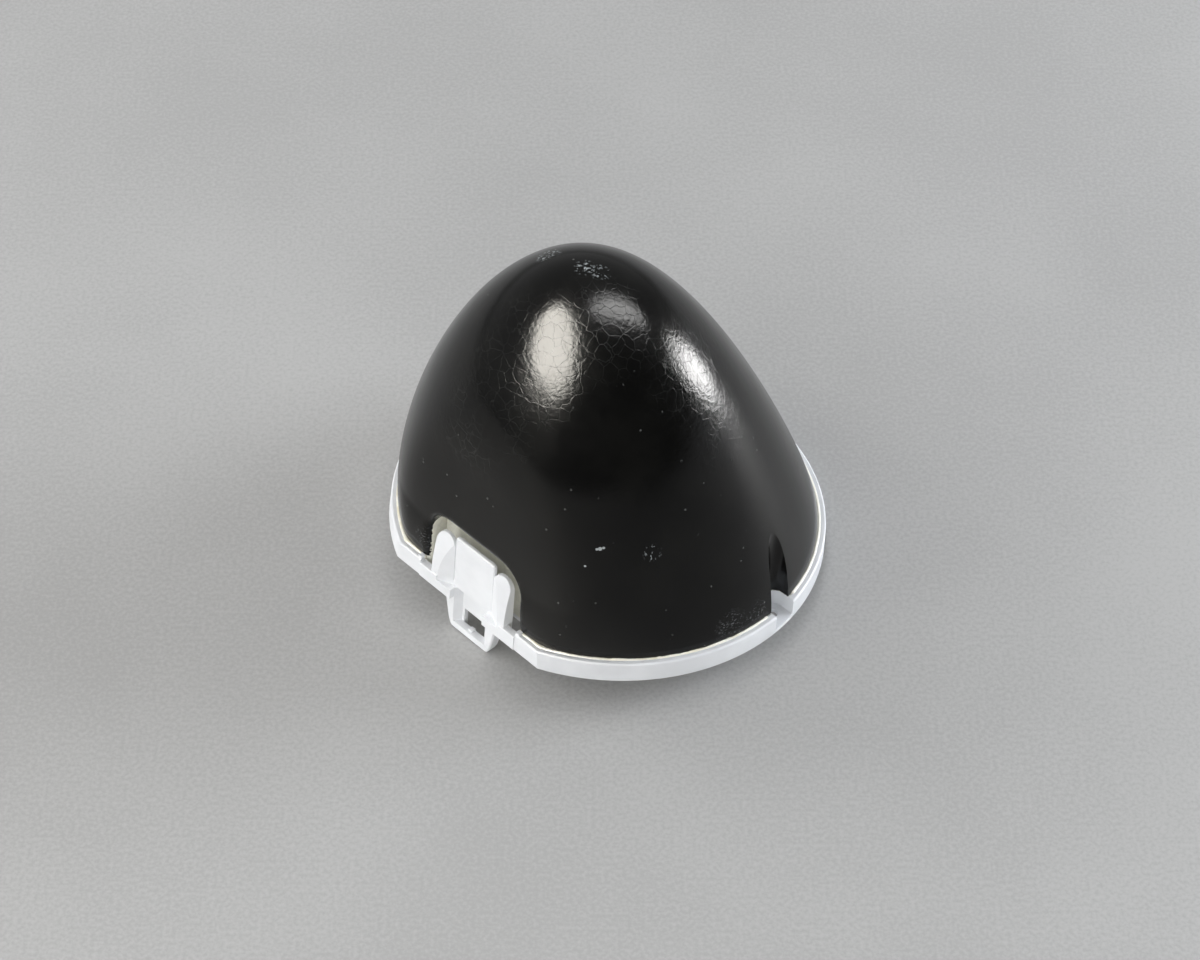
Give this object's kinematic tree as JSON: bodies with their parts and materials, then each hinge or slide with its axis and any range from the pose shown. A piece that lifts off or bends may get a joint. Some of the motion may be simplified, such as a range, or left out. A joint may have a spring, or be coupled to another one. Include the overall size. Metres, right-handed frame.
{
  "type": "model aircraft nose",
  "caption": "Hollow black foam nose cone for a model aircraft, glued into a white plastic ring with screw cups at its flanks and a slotted latch tongue on its flat side.",
  "frame": {"origin": "midway between the two screw holes, in the plane of the ring's rear face", "axes": "+Z forwards along the nose, at right angles to the rear face; X through the two screw holes; -Y towards the flat underside with the latch tongue"},
  "size_m": [0.13, 0.1234, 0.1217],
  "materials": {
    "painted_foam": "satin black paint over expanded bead foam",
    "white_plastic": "plain white moulded plastic"
  },
  "bodies": {
    "root": {"foam_nose": "painted_foam", "mounting_ring": "white_plastic"}
  },
  "joints": []
}
